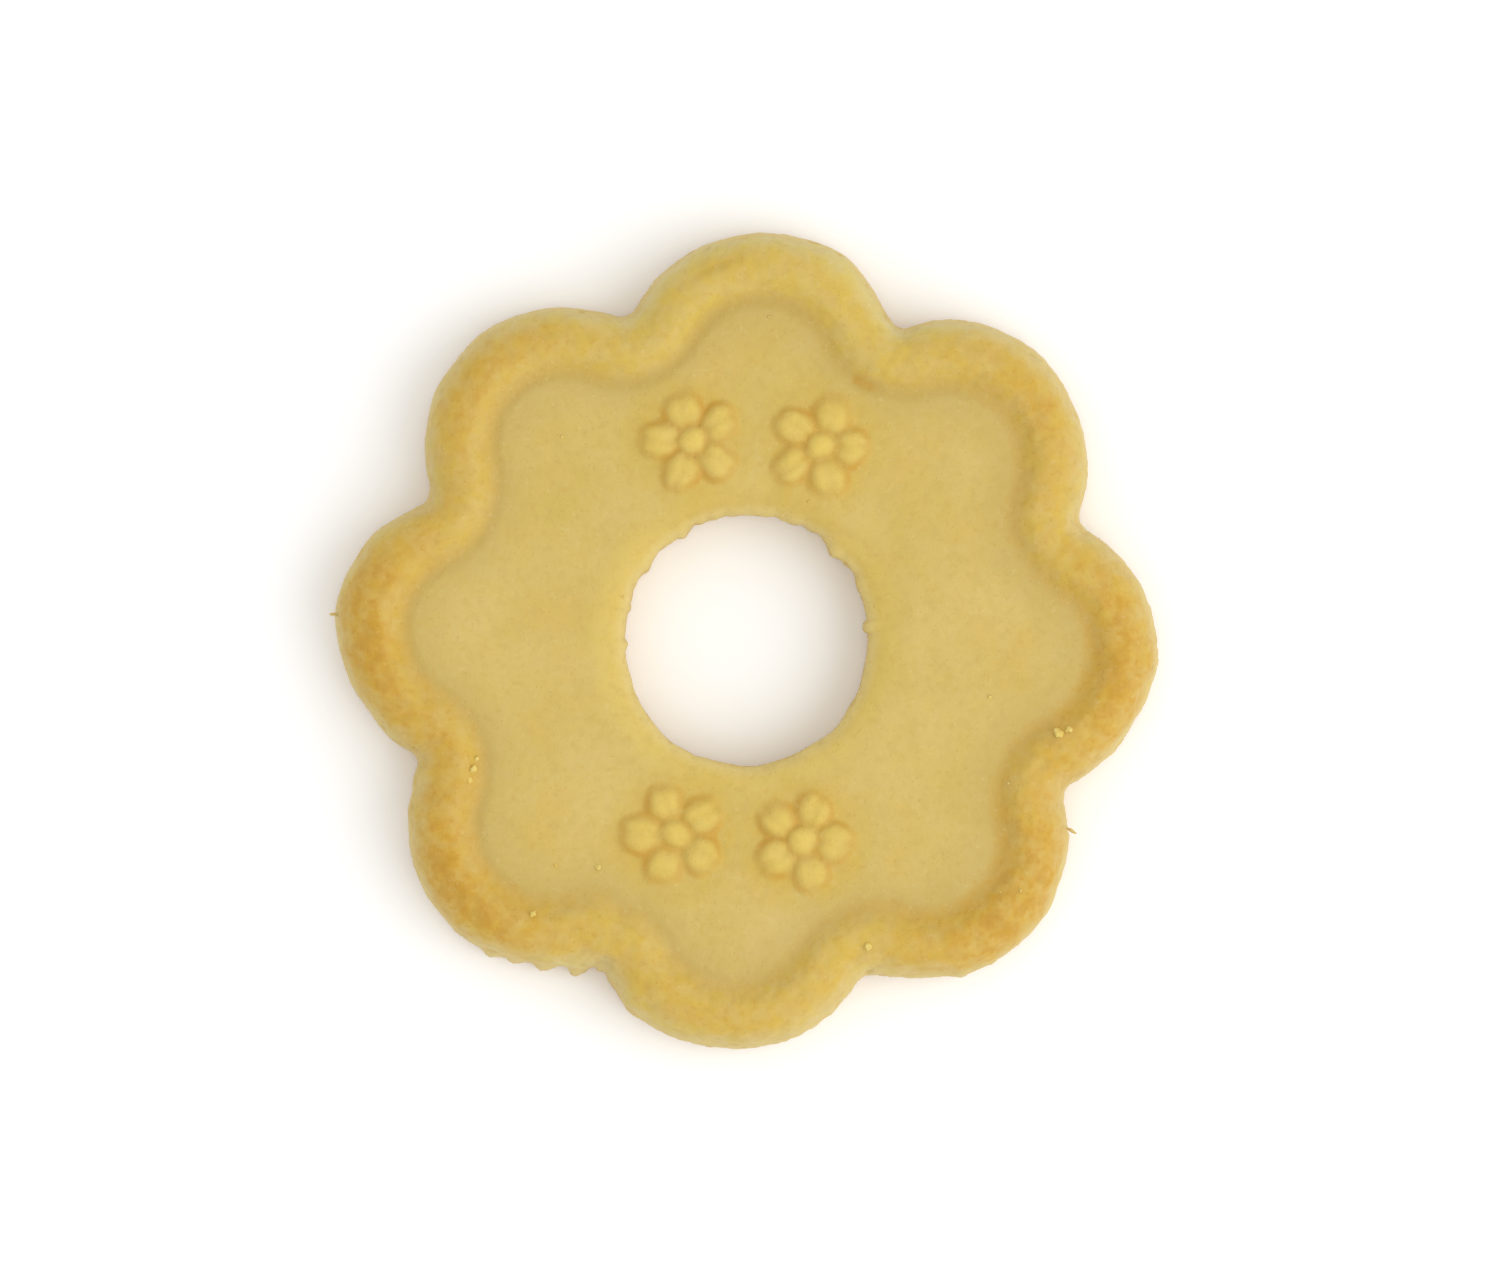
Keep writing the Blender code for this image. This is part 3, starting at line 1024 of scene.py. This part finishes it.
def baked_ring_tree():
    """The whole biscuit: the section swept round the petals, the blossoms raised, the crust roughened."""
    inputs = [("Section", "object"), ("Material", "material")] + sockets_for(BODY_SIZES)
    tree, given, result = new_shape_tree("baked_ring", inputs)
    bump = bump_group()
    ring, place, across, height = swept_ring(tree, given)
    spot = ring_position(tree, given, place, across, height, petal_point_group())
    ring = move(tree, ring, position=vector_math(tree, "ADD", spot, uneven_offset(tree, spot, bump)))
    ring = centred(tree, ring)
    ring = move(tree, ring, offset=ragged_edges(tree, given, across, height, bump))

    position = own_position(tree)
    _, angle, _ = around(tree, position)
    blossoms = use_group(tree, blossom_relief_group(), {"Position": position, **BLOSSOM_SIZES}).outputs
    on_top = ramp(tree, height, *BLOSSOM_TOP)
    blossom = product(tree, blossoms["Height"], on_top)
    fold = crown_folds(tree, across, height, angle, bump)
    looks = {
        "across_mm": ratio(tree, across, MM),
        "height_mm": ratio(tree, height, MM),
        "blossom_mm": ratio(tree, blossom, MM),
        "fold_mm": ratio(tree, fold, MM),
        "near_blossom": product(tree, blossoms["Near"], on_top),
        "blossom_side_mm": ratio(tree, blossoms["Signed Height"], MM),
        "toast": toasting(tree, across, height, angle, position),
        "crease": crease_shade(tree, across, height, angle, bump),
    }
    for name, value in looks.items():
        ring = store(tree, ring, name, value)
    ring = move(tree, ring, offset=upwards(tree, minus(tree, blossom, fold)))

    relief, mound = crust_relief(tree, given, across, height, angle)
    ring = store(tree, ring, "mound", mound)
    relief = product(tree, relief, ramp(tree, height, 0.0, FOOT_HEIGHT))
    ring = move(tree, ring, offset=scaled(tree, own_normal(tree), relief))
    finished(tree, ring, given["Material"], result["Geometry"])
    return tree


def make_cookie(material):
    guide = section_guide()
    values = {"Section": guide, "Material": material, **BODY_SIZES}
    cookie = grow("baked_cookie", baked_ring_tree(), values)
    bpy.data.objects.remove(guide)
    return cookie


# ---------------------------------------------------------------- geometry: crumbs


def lumps_on(tree, points, fineness, turn, size, lumps):
    """Puts a small ball on each point, turned and sized, and pushes its surface in and out at random.

    The lumps are how deep and how wide that unevenness is.
    """
    ball = add(tree, "GeometryNodeMeshIcoSphere", {"Radius": 0.5, "Subdivisions": fineness}).outputs[0]
    values = {"Points": points, "Instance": ball, "Rotation": turn, "Scale": size}
    balls = add(tree, "GeometryNodeInstanceOnPoints", values).outputs[0]
    balls = add(tree, "GeometryNodeRealizeInstances", {"Geometry": balls}).outputs[0]
    depth, width = lumps
    push = product(tree, swing(tree, own_position(tree), width, 1.0), depth)
    return move(tree, balls, offset=scaled(tree, own_normal(tree), push))


def marked_points(tree, given):
    """The lone points of the object that the Points input names."""
    return add(tree, "GeometryNodeMeshToPoints", {"Mesh": shape_of(tree, given["Points"])}).outputs[0]


def random_turn(tree, seed):
    values = {0: (0, 0, 0), 1: (WHOLE_TURN, WHOLE_TURN, WHOLE_TURN), "Seed": seed}
    return add(tree, "FunctionNodeRandomValue", values, data_type="FLOAT_VECTOR").outputs[0]


def random_number(tree, low, high, seed):
    values = {2: low, 3: high, "Seed": seed}
    return add(tree, "FunctionNodeRandomValue", values, data_type="FLOAT").outputs[1]


def placed_crumbs_tree():
    """Crumbs dropped straight down onto the biscuit at marked points, each as wide as its point says."""
    inputs = [("Points", "object"), ("Cookie", "object"), ("Material", "material")]
    inputs += [("Drop", "float"), ("Seed", "int")]
    tree, given, result = new_shape_tree("placed_crumbs", inputs)
    ray = {"Target Geometry": shape_of(tree, given["Cookie"]), "Ray Direction": (0, 0, -1)}
    drop = add(tree, "GeometryNodeRaycast", {**ray, "Ray Length": given["Drop"]})
    points = move(tree, marked_points(tree, given), position=drop.outputs["Hit Position"])
    turn = random_turn(tree, given["Seed"])
    size = scaled(tree, CRUMB_SHAPE, named(tree, "width"))
    crumbs = lumps_on(tree, points, 3, turn, size, PALE_LUMPS)
    finished(tree, crumbs, given["Material"], result["Geometry"])
    return tree


def point_cloud(name, places, widths):
    """A mesh of lone points from (millimetres from the middle, degrees, height), with a width for each."""
    spots = []
    for reach, angle, height in places:
        turn = math.radians(angle)
        spots.append((reach * MM * math.cos(turn), reach * MM * math.sin(turn), height))
    mesh = bpy.data.meshes.new(name)
    mesh.from_pydata(spots, [], [])
    mesh.attributes.new("width", "FLOAT", "POINT").data.foreach_set("value", widths)
    points = bpy.data.objects.new(name, mesh)
    bpy.context.scene.collection.objects.link(points)
    return points


def make_pale_crumbs(cookie, material):
    places = [(reach, angle, CRUMB_DROP_HEIGHT) for reach, angle, _ in PALE_CRUMBS]
    points = point_cloud("crumb_points", places, [width * MM for _, _, width in PALE_CRUMBS])
    values = {"Points": points, "Cookie": cookie, "Material": material}
    values.update({"Drop": CRUMB_DROP_HEIGHT, "Seed": PALE_TURN_SEED})
    crumbs = grow("pale_crumbs", placed_crumbs_tree(), values)
    bpy.data.objects.remove(points)
    return crumbs


def barbs_tree():
    """Thin barbs of dough that point straight out of the wall, each as thick as its point says."""
    inputs = [("Points", "object"), ("Material", "material"), ("Length", "float")]
    tree, given, result = new_shape_tree("wall_barbs", inputs)
    _, angle, _ = around(tree, own_position(tree))
    width = named(tree, "width")
    size = vector_of(tree, given["Length"], width, width)
    barbs = lumps_on(tree, marked_points(tree, given), 3, upwards(tree, angle), size, BARB_LUMPS)
    finished(tree, barbs, given["Material"], result["Geometry"])
    return tree


def make_barbs(material):
    places = [(reach, angle, height * MM) for reach, angle, height in BARBS]
    points = point_cloud("barb_points", places, [BARB_WIDTH] * len(BARBS))
    values = {"Points": points, "Material": material, "Length": BARB_LENGTH}
    barbs = grow("dough_barbs", barbs_tree(), values)
    bpy.data.objects.remove(points)
    return barbs


def fine_crumbs_tree():
    """Specks of crumb strewn over the top, thicker along the rim and round the hole."""
    inputs = [("Cookie", "object"), ("Material", "material"), ("Seed", "int")]
    inputs += floats("Number per Square Metre", "Smallest", "Largest")
    tree, given, result = new_shape_tree("fine_crumbs", inputs)
    across = named(tree, "across_mm")
    on_top = ramp(tree, named(tree, "height_mm"), *CRUMBED_TOP)
    at_rim = ramp(tree, across, *CRUMBED_RIM, 0.3, 1.0)
    at_hole = ramp(tree, across, *CRUMBED_LIP)
    thickness = product(tree, on_top, math_node(tree, "MAXIMUM", at_rim, at_hole))
    density = product(tree, thickness, given["Number per Square Metre"])
    values = {"Mesh": shape_of(tree, given["Cookie"]), "Density": density, "Seed": given["Seed"]}
    points = add(tree, "GeometryNodeDistributePointsOnFaces", values).outputs[0]
    # Most are small: the square of a random number leans to the low end
    chance = random_number(tree, 0.0, 1.0, FINE_WIDTH_SEED)
    width = between(tree, product(tree, chance, chance), given["Smallest"], given["Largest"])
    size = scaled(tree, CRUMB_SHAPE, width)
    crumbs = lumps_on(tree, points, 2, random_turn(tree, FINE_TURN_SEED), size, FINE_LUMPS)
    finished(tree, crumbs, given["Material"], result["Geometry"])
    return tree


def make_fine_crumbs(cookie, material):
    smallest, largest = FINE_CRUMB_WIDTHS
    values = {"Cookie": cookie, "Material": material, "Smallest": smallest, "Largest": largest}
    values.update({"Number per Square Metre": FINE_CRUMBS_PER_SQUARE_METRE, "Seed": FINE_PLACE_SEED})
    return grow("fine_crumbs", fine_crumbs_tree(), values)


# ---------------------------------------------------------------- materials


def dough_grain_group():
    """The grain of baked dough: brown specks with painted shade in its pinholes, pale flecks, a tone that
    drifts, and a fine height.
    """
    inputs = [("Position", "vector"), ("Speck Size", "float")]
    outputs = floats("Speck", "Fleck", "Tone", "Height")
    tree, given, result = new_group("dough_grain", "ShaderNodeTree", inputs, outputs)
    place = given["Position"]
    size = given["Speck Size"]
    shifted = vector_math(tree, "ADD", place, GRAIN_SHIFT)
    speck = noise(tree, place, size, 3.0, 0.55)
    fleck = noise(tree, shifted, product(tree, size, 0.8), 2.0, 0.5)
    tone = noise(tree, shifted, product(tree, size, 3.2), 2.0, 0.5)
    fine = noise(tree, shifted, product(tree, size, 0.45), 3.0, 0.65)
    # Pinholes: shallow bump hollows with painted shade in them, added to the specks
    values = {"Vector": place, "Scale": ratio(tree, 1.3, size), "Randomness": 1.0}
    cells = add(tree, "ShaderNodeTexVoronoi", values).outputs
    chosen = math_node(tree, "LESS_THAN", parts_of(tree, cells["Color"])[0], 0.18)
    pinhole = product(tree, ramp(tree, cells["Distance"], 0.30, 0.08, smooth=True), chosen)
    dark = math_node(tree, "MAXIMUM", ramp(tree, speck, 0.56, 0.72), product(tree, pinhole, 0.8))
    height = multiply_add(tree, speck, -0.5, fine)
    height = minus(tree, height, product(tree, pinhole, 0.7))
    tree.links.new(dark, result["Speck"])
    tree.links.new(ramp(tree, fleck, 0.62, 0.76), result["Fleck"])
    tree.links.new(tone, result["Tone"])
    tree.links.new(height, result["Height"])
    return tree


def new_material(name):
    material = bpy.data.materials.new(name)
    material.use_nodes = True
    return material, material.node_tree, material.node_tree.nodes["Principled BSDF"]


def attribute(tree, name):
    return add(tree, "ShaderNodeAttribute", attribute_name=name).outputs["Fac"]


def object_place(tree):
    return tree.nodes.new("ShaderNodeTexCoord").outputs["Object"]


def dull_and_grainy(tree, shader, height, depth):
    """Sets a shader to the low gloss of dry dough and raises its fine grain."""
    shader.inputs["Specular IOR Level"].default_value = DOUGH_GLOSS
    bump = add(tree, "ShaderNodeBump", {"Strength": GRAIN_BUMP, "Distance": depth, "Height": height})
    tree.links.new(bump.outputs[0], shader.inputs["Normal"])


def patchy_dough(tree, place):
    """Soft patches of gold, olive and orange, several millimetres wide."""
    tone = noise(tree, place, GOLD_PATCHES, 4.0, 0.6)
    warmth = noise(tree, vector_math(tree, "ADD", place, WARMTH_SHIFT), WARM_PATCHES, 4.0, 0.6)
    color = blend(tree, ramp(tree, tone, 0.28, 0.72), OLIVE_DOUGH, GOLD_DOUGH)
    return blend(tree, ramp(tree, warmth, 0.48, 0.74, 0.0, 0.6), color, ORANGE_DOUGH)


def rim_tints(tree, color, across):
    """The rim and its outer edge have colours of their own, and painted shade darkens the face beside the
    rim.
    """
    color = blend(tree, ramp(tree, across, *RIM_TINT), color, RIM_DOUGH)
    shade = product(tree, ramp(tree, across, *SHADE_ON_FACE, smooth=True), ramp(tree, across, *SHADE_BY_RIM))
    color = blend(tree, product(tree, shade, SHADE_SHARE), color, SHADED_DOUGH)
    return blend(tree, ramp(tree, across, *EDGE_TINT, 0.0, 0.9), color, EDGE_DOUGH)


def hole_tints(tree, color, place, across, height):
    """The dough is lighter round the hole, warmer above it than below, and palest on its lip."""
    band = product(tree, ramp(tree, across, *HOLE_BAND, smooth=True), ramp(tree, height, *HOLE_BAND_TOP))
    above_hole = ramp(tree, parts_of(tree, place)[1], *ABOVE_HOLE)
    tint = blend(tree, above_hole, YELLOW_DOUGH, OCHRE_DOUGH)
    color = blend(tree, product(tree, band, HOLE_BAND_SHARE), color, tint)
    lip = product(tree, ramp(tree, across, *HOLE_LIP_BAND, smooth=True), ramp(tree, height, *HOLE_LIP_TOP))
    return blend(tree, product(tree, lip, HOLE_LIP_SHARE), color, PALE_DOUGH)


def crease_tints(tree, color):
    """Painted shade: darker in the crown's folds and in the crease, and brown where the crease's shade is
    deepest.
    """
    fold = attribute(tree, "fold_mm")
    color = blend(tree, ramp(tree, fold, 0.0, 0.14, 0.0, 0.6), color, CREASE_DOUGH)
    crease = attribute(tree, "crease")
    color = blend(tree, crease, color, CREASE_DOUGH)
    return blend(tree, ramp(tree, crease, 0.8, 1.3, 0.0, 0.55), color, BROWN_DOUGH)


def blossom_tint(tree, color, place):
    """The blossoms' tops are yellower. Painted shade in ochre darkens the face round them, and painted shade
    in toasted brown darkens their foot and the hollows in them.
    """
    rise = attribute(tree, "blossom_mm")
    # Ochre painted shade round each blossom, in patches
    patches = noise(tree, place, SHADE_AURA_PATCHES, 2.0)
    near = attribute(tree, "near_blossom")
    patchy = ramp(tree, patches, *NOISE_RANGE, 0.2, 0.7)
    color = blend(tree, product(tree, ramp(tree, near, 0.0, 0.5, smooth=True), patchy), color, OCHRE_DOUGH)
    # Toasted brown painted shade at the foot of the relief, strongest where petals and heart enclose it
    side = attribute(tree, "blossom_side_mm")
    enclosed = ramp(tree, near, 0.42, 0.66, 0.2, 1.0)
    crease = product(tree, ramp(tree, side, -0.7, 0.1, smooth=True), ramp(tree, side, 0.6, 0.1, smooth=True))
    broken = noise(tree, place, BLOSSOM_SHADE_PATCHES, 2.0)
    shade = product(tree, crease, enclosed, ramp(tree, broken, 0.36, 0.60, 0.3, 1.0))
    color = blend(tree, shade, color, TOAST_AND_SHADE_DOUGH)
    return blend(tree, ramp(tree, rise, 0.30, 0.65, 0.0, 0.8), color, YELLOW_DOUGH)


def toast_tint(tree, color, place, tone):
    """Browns the dough where it is toasted, in blotches, and on the rim's slope also paints shade. Returns
    the colour and how deep the browning is.
    """
    blotch = noise(tree, place, TOAST_BLOTCHES, 3.0, 0.6)
    mottle = noise(tree, place, TOAST_MOTTLE, 2.0, 0.5)
    uneven = plus(
        tree,
        ramp(tree, blotch, *NOISE_RANGE, 0.75, 1.15),
        ramp(tree, tone, *NOISE_RANGE, -0.1, 0.1),
        ramp(tree, mottle, *NOISE_RANGE, -0.3, 0.3),
    )
    depth = product(tree, attribute(tree, "toast"), uneven)
    color = blend(tree, ramp(tree, depth, 0.0, 0.85), color, TOAST_AND_SHADE_DOUGH)
    color = blend(tree, ramp(tree, depth, 0.75, 1.5), color, BROWN_DOUGH)
    return color, depth


def yellow_spots(tree, color, place, across, height):
    """Yellower spots a millimetre or so wide, strongest on the rim's top."""
    spots = noise(tree, vector_math(tree, "ADD", place, YELLOW_SHIFT), YELLOW_SPOTS, 2.0, 0.5)
    on_rim = ramp(tree, across, *YELLOW_RIM, 0.2, 0.8)
    on_top = ramp(tree, height, *YELLOW_TOP, 0.25, 1.0)
    spotted = product(tree, ramp(tree, spots, 0.40, 0.62), on_rim, on_top)
    return blend(tree, spotted, color, vector_math(tree, "MULTIPLY", color, YELLOWER))


def dough_material(grain):
    material, tree, shader = new_material("golden_butter_dough")
    place = object_place(tree)
    grains = use_group(tree, grain, {"Position": place, "Speck Size": DOUGH_SPECKS}).outputs
    across = attribute(tree, "across_mm")
    height = attribute(tree, "height_mm")

    color = rim_tints(tree, patchy_dough(tree, place), across)
    drift = swing(tree, place, WALL_DRIFT_SIZE, 3.0, 0.6)
    wall = ramp(tree, multiply_add(tree, drift, WALL_DRIFT, height), *WALL_TINT, smooth=True)
    color = blend(tree, product(tree, wall, WALL_SHARE), color, WALL_DOUGH)
    color = hole_tints(tree, color, place, across, height)
    color = blossom_tint(tree, color, place)
    color = crease_tints(tree, color)
    color, depth = toast_tint(tree, color, place, grains["Tone"])
    color = yellow_spots(tree, color, place, across, height)
    speckled = product(tree, grains["Speck"], ramp(tree, depth, 0.0, 0.8, 0.18, 0.35))
    color = blend(tree, speckled, color, BROWN_DOUGH)
    color = blend(tree, product(tree, grains["Fleck"], FLECK_SHARE), color, PALE_DOUGH)
    # Painted shade in the crust's hollows and pores, in the crease colour on top and toasted brown on the
    # wall
    hollow = ramp(tree, attribute(tree, "mound"), 0.02, -0.30, 0.0, 0.4)
    color = blend(tree, hollow, color, blend(tree, wall, CREASE_DOUGH, TOAST_AND_SHADE_DOUGH))
    tree.links.new(color, shader.inputs["Base Color"])

    rough = multiply_add(tree, grains["Tone"], 0.16, 0.56)
    rough = math_node(tree, "SUBTRACT", rough, product(tree, depth, 0.08), clamp=True)
    tree.links.new(rough, shader.inputs["Roughness"])
    dull_and_grainy(tree, shader, grains["Height"], DOUGH_GRAIN_DEPTH)
    return material


def crumb_material(grain, name, color, paler):
    """Loose crumbs are the dough's inside: paler than its crust, with the same grain."""
    material, tree, shader = new_material(name)
    grains = use_group(tree, grain, {"Position": object_place(tree), "Speck Size": CRUMB_SPECKS}).outputs
    shade = blend(tree, ramp(tree, grains["Tone"], 0.35, 0.65), color, paler)
    shade = blend(tree, product(tree, grains["Speck"], CRUMB_SPECK_SHARE), shade, TOAST_AND_SHADE_DOUGH)
    tree.links.new(shade, shader.inputs["Base Color"])
    shader.inputs["Roughness"].default_value = CRUMB_ROUGHNESS
    dull_and_grainy(tree, shader, grains["Height"], CRUMB_GRAIN_DEPTH)
    return material


def floor_material():
    material, _, shader = new_material("pale_floor")
    shader.inputs["Base Color"].default_value = FLOOR_WHITE
    shader.inputs["Roughness"].default_value = FLOOR_ROUGHNESS
    return material


# ---------------------------------------------------------------- floor, light and camera


def make_floor():
    bpy.ops.mesh.primitive_plane_add(size=FLOOR_SIZE, location=(0, 0, 0))
    floor = bpy.context.object
    floor.name = "floor"
    floor.data.materials.append(floor_material())
    return floor


def make_key_light():
    light = bpy.data.lights.new("key", "AREA")
    light.shape = "DISK"
    light.size = KEY_SIZE
    light.energy = KEY_POWER
    lamp = bpy.data.objects.new("key", light)
    direction = Vector(KEY_DIRECTION)
    lamp.location = direction.normalized() * KEY_DISTANCE
    lamp.rotation_euler = direction.to_track_quat("Z", "Y").to_euler()
    bpy.context.scene.collection.objects.link(lamp)


def make_world():
    world = bpy.data.worlds.new("studio")
    world.use_nodes = True
    background = world.node_tree.nodes["Background"]
    background.inputs["Color"].default_value = (1, 1, 1, 1)
    background.inputs["Strength"].default_value = WORLD_STRENGTH
    bpy.context.scene.world = world


def make_camera():
    data = bpy.data.cameras.new("camera")
    data.sensor_width = SENSOR_WIDTH
    data.lens = SENSOR_WIDTH * CAMERA_DISTANCE / (VIEW_HEIGHT * PICTURE_SHAPE)
    camera = bpy.data.objects.new("camera", data)
    camera.matrix_world = Matrix.Translation((0, 0, CAMERA_DISTANCE)) @ Matrix.Rotation(PHOTO_ROLL, 4, "Z")
    bpy.context.scene.collection.objects.link(camera)
    bpy.context.scene.camera = camera


def dress(piece):
    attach(piece, BODY)


def main():
    bpy.context.scene.view_settings.view_transform = "Standard"
    grain = dough_grain_group()
    dough = dough_material(grain)
    pale = crumb_material(grain, "pale_crumb", YELLOW_DOUGH, CRUMB_DOUGH)
    cookie = make_cookie(dough)
    pale_crumbs = make_pale_crumbs(cookie, pale)
    fine_crumbs = make_fine_crumbs(cookie, crumb_material(grain, "fine_crumb", GOLD_DOUGH, YELLOW_DOUGH))
    barbs = make_barbs(crumb_material(grain, "wall_crumb", GOLD_DOUGH, WALL_DOUGH))
    for piece in (cookie, pale_crumbs, fine_crumbs, barbs):
        dress(piece)
    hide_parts("cookie")
    make_floor()
    make_world()
    make_key_light()
    make_camera()


main()
